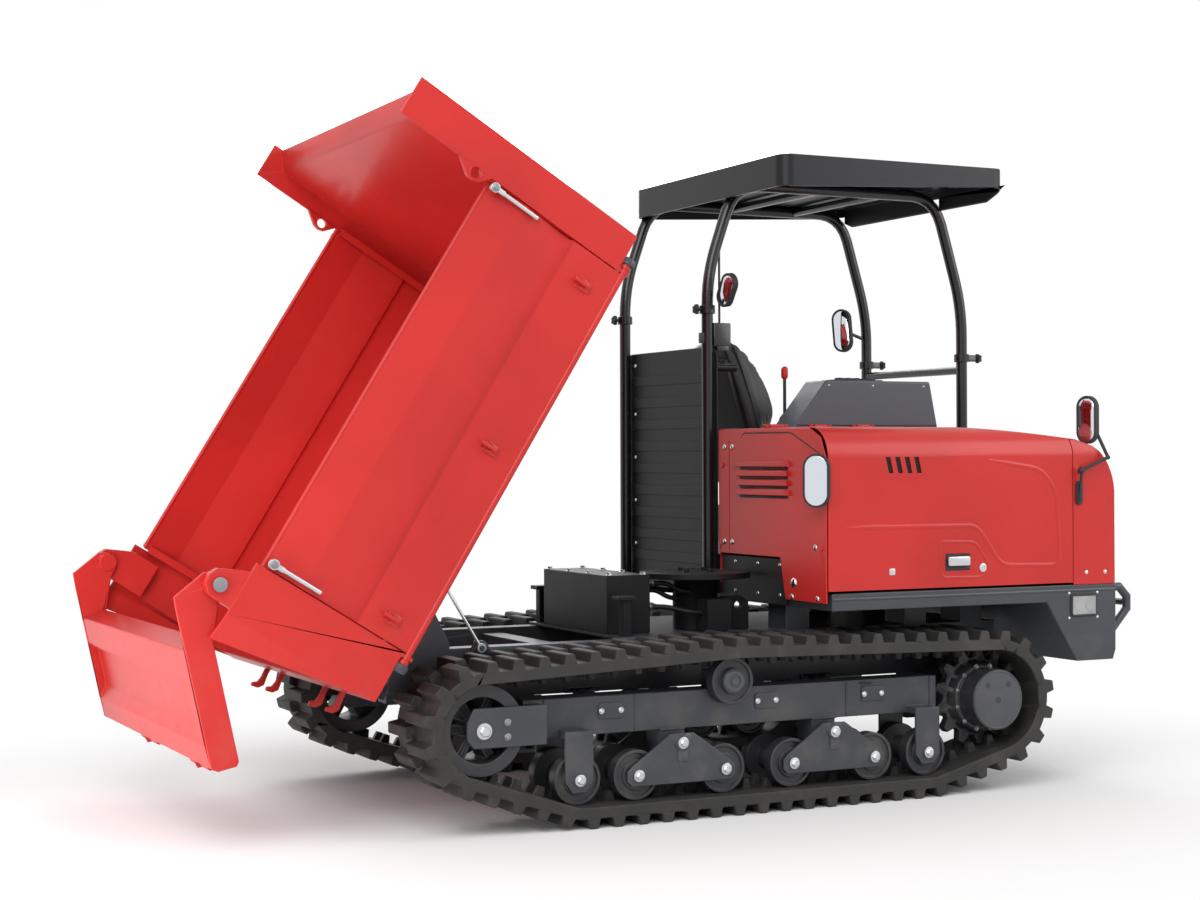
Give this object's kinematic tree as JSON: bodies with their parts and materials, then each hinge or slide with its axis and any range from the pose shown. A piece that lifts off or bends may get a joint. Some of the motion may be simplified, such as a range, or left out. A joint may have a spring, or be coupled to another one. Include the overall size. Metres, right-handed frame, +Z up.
{
  "type": "tracked power carrier",
  "caption": "Rubber-tracked carrier with a tipping bed, drop sides, a swinging tailgate, rocking roller bogies, a side engine hood and a canopied operator station.",
  "frame": {"origin": "middle of the bounding box, on the ground under the tread lugs", "axes": "+X to the machine's front, +Y to its left, +Z up"},
  "size_m": [4.0183, 1.7581, 2.6422],
  "materials": {
    "red_paint": "satin gloss red paint",
    "dark_paint": "satin charcoal paint",
    "black_paint": "satin black paint",
    "black_plastic": "grained black plastic",
    "dark_plastic": "grained charcoal plastic",
    "cast_iron": "dark coated casting",
    "track_rubber": "dull rubber",
    "seat_vinyl": "grained black vinyl",
    "bright_steel": "zinc plated",
    "rod_chrome": "hard chrome",
    "lamp_glass": "clear lens",
    "black_wheel": "satin black paint"
  },
  "bodies": {
    "chassis": {"main_frame": "dark_paint", "track_frame_right": "dark_paint", "track_frame_left": "dark_paint", "track_belt_right": "track_rubber", "track_belt_left": "track_rubber", "platform_skirt": "dark_paint", "rear_guard": "black_plastic", "canopy_frame": "black_paint", "canopy_roof": "black_plastic", "louvre_panel": "red_paint", "nose_cowl": "red_paint", "console": "dark_plastic", "engine": "cast_iron", "hydraulic_unit": "black_paint", "work_lights": "lamp_glass"},
    "bed": {"bed": "red_paint"},
    "tailgate": {"tailgate": "red_paint"},
    "tailgate_hooks": {"tailgate_hooks": "red_paint"},
    "side_gate_right": {"side_gate_right": "red_paint"},
    "gate_latch_front_right": {"gate_latch_front_right": "bright_steel"},
    "gate_latch_rear_right": {"gate_latch_rear_right": "bright_steel"},
    "side_gate_left": {"side_gate_left": "red_paint"},
    "gate_latch_front_left": {"gate_latch_front_left": "bright_steel"},
    "gate_latch_rear_left": {"gate_latch_rear_left": "bright_steel"},
    "lift_barrel": {"lift_barrel": "dark_paint"},
    "lift_rod": {"lift_rod": "rod_chrome"},
    "bed_prop": {"bed_prop": "bright_steel"},
    "hood": {"hood": "red_paint"},
    "hood_latch": {"hood_latch": "black_plastic"},
    "mirror_rear_right": {"mirror_rear_right": "black_plastic"},
    "mirror_front_right": {"mirror_front_right": "black_plastic"},
    "mirror_rear_post": {"mirror_rear_post": "black_plastic"},
    "mirror_front_left": {"mirror_front_left": "black_plastic"},
    "seat": {"seat_pan": "black_plastic", "seat_cushion": "seat_vinyl", "seat_backrest": "seat_vinyl"},
    "travel_lever": {"travel_lever": "black_plastic"},
    "dump_lever": {"dump_lever": "black_plastic"},
    "sprocket_right": {"sprocket_right": "black_wheel"},
    "idler_right": {"idler_right": "black_wheel"},
    "carrier_roller_right": {"carrier_roller_right": "black_wheel"},
    "bogie_rear_right": {"bogie_rear_right": "dark_paint"},
    "bogie_front_right": {"bogie_front_right": "dark_paint"},
    "roller_1_right": {"roller_1_right": "black_wheel"},
    "roller_2_right": {"roller_2_right": "black_wheel"},
    "roller_3_right": {"roller_3_right": "black_wheel"},
    "roller_4_right": {"roller_4_right": "black_wheel"},
    "roller_5_right": {"roller_5_right": "black_wheel"},
    "roller_6_right": {"roller_6_right": "black_wheel"},
    "sprocket_left": {"sprocket_left": "black_wheel"},
    "idler_left": {"idler_left": "black_wheel"},
    "carrier_roller_left": {"carrier_roller_left": "black_wheel"},
    "bogie_rear_left": {"bogie_rear_left": "dark_paint"},
    "bogie_front_left": {"bogie_front_left": "dark_paint"},
    "roller_1_left": {"roller_1_left": "black_wheel"},
    "roller_2_left": {"roller_2_left": "black_wheel"},
    "roller_3_left": {"roller_3_left": "black_wheel"},
    "roller_4_left": {"roller_4_left": "black_wheel"},
    "roller_5_left": {"roller_5_left": "black_wheel"},
    "roller_6_left": {"roller_6_left": "black_wheel"}
  },
  "joints": [
    {"name": "bed_tilt", "type": "hinge", "parent": "chassis", "child": "bed", "pos_m": [-1.041, 0, 0.837], "axis": [0, -1, 0], "range_deg": [-58.2, 0]},
    {"name": "tailgate_swing", "type": "hinge", "parent": "bed", "child": "tailgate", "pos_m": [-1.86226, 0, 0.91674], "axis": [0, -1, 0], "range_deg": [-30, 43]},
    {"name": "hook_turn", "type": "hinge", "parent": "bed", "child": "tailgate_hooks", "pos_m": [-1.29615, 0, 0.51278], "axis": [0, -1, 0], "range_deg": [-20.47, 0]},
    {"name": "gate_drop_right", "type": "hinge", "parent": "bed", "child": "side_gate_right", "pos_m": [-1.07669, -0.84, 0.85913], "axis": [0.527, 0, 0.8499], "range_deg": [0, 100]},
    {"name": "latch_front_right", "type": "hinge", "parent": "side_gate_right", "child": "gate_latch_front_right", "pos_m": [-0.88078, -0.86, 2.27197], "axis": [0, 1, 0], "range_deg": [0, 80]},
    {"name": "latch_rear_right", "type": "hinge", "parent": "side_gate_right", "child": "gate_latch_rear_right", "pos_m": [-1.68281, -0.86, 0.97844], "axis": [0, -1, 0], "range_deg": [0, 80]},
    {"name": "gate_drop_left", "type": "hinge", "parent": "bed", "child": "side_gate_left", "pos_m": [-1.07669, 0.84, 0.85913], "axis": [-0.527, 0, -0.8499], "range_deg": [0, 100]},
    {"name": "latch_front_left", "type": "hinge", "parent": "side_gate_left", "child": "gate_latch_front_left", "pos_m": [-0.88078, 0.86, 2.27197], "axis": [0, 1, 0], "range_deg": [0, 80]},
    {"name": "latch_rear_left", "type": "hinge", "parent": "side_gate_left", "child": "gate_latch_rear_left", "pos_m": [-1.68281, 0.86, 0.97844], "axis": [0, -1, 0], "range_deg": [0, 80]},
    {"name": "lift_swing", "type": "hinge", "parent": "chassis", "child": "lift_barrel", "pos_m": [-0.968, 0, 0.49], "axis": [0, -1, 0], "range_deg": [-31.62, 0]},
    {"name": "lift_stroke", "type": "slide", "parent": "lift_barrel", "child": "lift_rod", "axis": [0.2626, 0, 0.9649], "range_m": [-0.24174, 0]},
    {"name": "prop_fold", "type": "hinge", "parent": "chassis", "child": "bed_prop", "pos_m": [-0.77, -0.444, 0.628], "axis": [0, -1, 0], "range_deg": [0, 54.11]},
    {"name": "hood_open", "type": "hinge", "parent": "chassis", "child": "hood", "pos_m": [1.087, -0.165, 1.455], "axis": [-1, 0, 0], "range_deg": [0, 60]},
    {"name": "hood_latch_pull", "type": "hinge", "parent": "hood", "child": "hood_latch", "pos_m": [1.101, -0.8325, 0.93], "axis": [-1, 0, 0], "range_deg": [0, 14], "stiffness_Nm_per_rad": 3},
    {"name": "mirror_turn_rear_right", "type": "hinge", "parent": "chassis", "child": "mirror_rear_right", "pos_m": [0.465, -0.822, 1.238], "axis": [0, 0, 1], "range_deg": [-30, 30]},
    {"name": "mirror_turn_front_right", "type": "hinge", "parent": "chassis", "child": "mirror_front_right", "pos_m": [1.698, -0.857, 1.27], "axis": [0, 0, 1], "range_deg": [-25, 5]},
    {"name": "mirror_turn_rear_post", "type": "hinge", "parent": "chassis", "child": "mirror_rear_post", "pos_m": [0.543, 0.01, 2.016], "axis": [0, 0, 1], "range_deg": [-8, 30]},
    {"name": "mirror_turn_front_left", "type": "hinge", "parent": "chassis", "child": "mirror_front_left", "pos_m": [1.6577, 0.822, 1.928], "axis": [0, 0, 1], "range_deg": [-25, 25]},
    {"name": "seat_slide", "type": "slide", "parent": "chassis", "child": "seat", "axis": [1, 0, 0], "range_m": [-0.04, 0.04]},
    {"name": "travel_lever_throw", "type": "hinge", "parent": "chassis", "child": "travel_lever", "pos_m": [1.137, 0.067, 1.487], "axis": [0, 1, 0], "range_deg": [-15, 15]},
    {"name": "dump_lever_throw", "type": "hinge", "parent": "chassis", "child": "dump_lever", "pos_m": [0.861, 0.067, 1.487], "axis": [0, 1, 0], "range_deg": [-15, 15]},
    {"name": "track_drive_right", "type": "hinge", "parent": "chassis", "child": "sprocket_right", "pos_m": [1.287, -0.675, 0.363], "axis": [0, 1, 0], "continuous": true},
    {"name": "idler_right_spin", "type": "hinge", "parent": "chassis", "child": "idler_right", "pos_m": [-0.909, -0.675, 0.371], "axis": [0, 1, 0], "continuous": true},
    {"name": "carrier_roller_right_spin", "type": "hinge", "parent": "chassis", "child": "carrier_roller_right", "pos_m": [0.108, -0.675, 0.493], "axis": [0, 1, 0], "continuous": true},
    {"name": "bogie_rear_right_rock", "type": "hinge", "parent": "chassis", "child": "bogie_rear_right", "pos_m": [-0.117, -0.675, 0.28], "axis": [0, 1, 0], "range_deg": [-5, 5], "deforming": ["track_belt_right"]},
    {"name": "bogie_front_right_rock", "type": "hinge", "parent": "chassis", "child": "bogie_front_right", "pos_m": [0.543, -0.675, 0.28], "axis": [0, 1, 0], "range_deg": [-5, 5], "deforming": ["track_belt_right"]},
    {"name": "roller_1_right_spin", "type": "hinge", "parent": "chassis", "child": "roller_1_right", "pos_m": [-0.536, -0.675, 0.1715], "axis": [0, 1, 0], "continuous": true},
    {"name": "roller_2_right_spin", "type": "hinge", "parent": "bogie_rear_right", "child": "roller_2_right", "pos_m": [-0.299, -0.675, 0.1715], "axis": [0, 1, 0], "continuous": true},
    {"name": "roller_3_right_spin", "type": "hinge", "parent": "bogie_rear_right", "child": "roller_3_right", "pos_m": [0.065, -0.675, 0.1715], "axis": [0, 1, 0], "continuous": true},
    {"name": "roller_4_right_spin", "type": "hinge", "parent": "bogie_front_right", "child": "roller_4_right", "pos_m": [0.361, -0.675, 0.1715], "axis": [0, 1, 0], "continuous": true},
    {"name": "roller_5_right_spin", "type": "hinge", "parent": "bogie_front_right", "child": "roller_5_right", "pos_m": [0.725, -0.675, 0.1715], "axis": [0, 1, 0], "continuous": true},
    {"name": "roller_6_right_spin", "type": "hinge", "parent": "chassis", "child": "roller_6_right", "pos_m": [0.976, -0.675, 0.1715], "axis": [0, 1, 0], "continuous": true},
    {"name": "track_drive_left", "type": "hinge", "parent": "chassis", "child": "sprocket_left", "pos_m": [1.287, 0.675, 0.363], "axis": [0, 1, 0], "continuous": true},
    {"name": "idler_left_spin", "type": "hinge", "parent": "chassis", "child": "idler_left", "pos_m": [-0.909, 0.675, 0.371], "axis": [0, 1, 0], "continuous": true},
    {"name": "carrier_roller_left_spin", "type": "hinge", "parent": "chassis", "child": "carrier_roller_left", "pos_m": [0.108, 0.675, 0.493], "axis": [0, 1, 0], "continuous": true},
    {"name": "bogie_rear_left_rock", "type": "hinge", "parent": "chassis", "child": "bogie_rear_left", "pos_m": [-0.117, 0.675, 0.28], "axis": [0, 1, 0], "range_deg": [-5, 5], "deforming": ["track_belt_left"]},
    {"name": "bogie_front_left_rock", "type": "hinge", "parent": "chassis", "child": "bogie_front_left", "pos_m": [0.543, 0.675, 0.28], "axis": [0, 1, 0], "range_deg": [-5, 5], "deforming": ["track_belt_left"]},
    {"name": "roller_1_left_spin", "type": "hinge", "parent": "chassis", "child": "roller_1_left", "pos_m": [-0.536, 0.675, 0.1715], "axis": [0, 1, 0], "continuous": true},
    {"name": "roller_2_left_spin", "type": "hinge", "parent": "bogie_rear_left", "child": "roller_2_left", "pos_m": [-0.299, 0.675, 0.1715], "axis": [0, 1, 0], "continuous": true},
    {"name": "roller_3_left_spin", "type": "hinge", "parent": "bogie_rear_left", "child": "roller_3_left", "pos_m": [0.065, 0.675, 0.1715], "axis": [0, 1, 0], "continuous": true},
    {"name": "roller_4_left_spin", "type": "hinge", "parent": "bogie_front_left", "child": "roller_4_left", "pos_m": [0.361, 0.675, 0.1715], "axis": [0, 1, 0], "continuous": true},
    {"name": "roller_5_left_spin", "type": "hinge", "parent": "bogie_front_left", "child": "roller_5_left", "pos_m": [0.725, 0.675, 0.1715], "axis": [0, 1, 0], "continuous": true},
    {"name": "roller_6_left_spin", "type": "hinge", "parent": "chassis", "child": "roller_6_left", "pos_m": [0.976, 0.675, 0.1715], "axis": [0, 1, 0], "continuous": true}
  ],
  "couplings": [
    {"joint": "hook_turn", "follows": "bed_tilt", "ratio": 0.35},
    {"joint": "lift_swing", "follows": "bed_tilt", "ratio": 0.54247},
    {"joint": "lift_stroke", "follows": "bed_tilt", "m_per_rad": 0.23749},
    {"joint": "prop_fold", "follows": "bed_tilt", "ratio": -0.928},
    {"joint": "idler_right_spin", "follows": "track_drive_right", "ratio": 1.1832},
    {"joint": "carrier_roller_right_spin", "follows": "track_drive_right", "ratio": 2.2011},
    {"joint": "roller_1_right_spin", "follows": "track_drive_right", "ratio": 2.107},
    {"joint": "roller_2_right_spin", "follows": "track_drive_right", "ratio": 2.107},
    {"joint": "roller_3_right_spin", "follows": "track_drive_right", "ratio": 2.107},
    {"joint": "roller_4_right_spin", "follows": "track_drive_right", "ratio": 2.107},
    {"joint": "roller_5_right_spin", "follows": "track_drive_right", "ratio": 2.107},
    {"joint": "roller_6_right_spin", "follows": "track_drive_right", "ratio": 2.107},
    {"joint": "idler_left_spin", "follows": "track_drive_left", "ratio": 1.1832},
    {"joint": "carrier_roller_left_spin", "follows": "track_drive_left", "ratio": 2.2011},
    {"joint": "roller_1_left_spin", "follows": "track_drive_left", "ratio": 2.107},
    {"joint": "roller_2_left_spin", "follows": "track_drive_left", "ratio": 2.107},
    {"joint": "roller_3_left_spin", "follows": "track_drive_left", "ratio": 2.107},
    {"joint": "roller_4_left_spin", "follows": "track_drive_left", "ratio": 2.107},
    {"joint": "roller_5_left_spin", "follows": "track_drive_left", "ratio": 2.107},
    {"joint": "roller_6_left_spin", "follows": "track_drive_left", "ratio": 2.107}
  ]
}
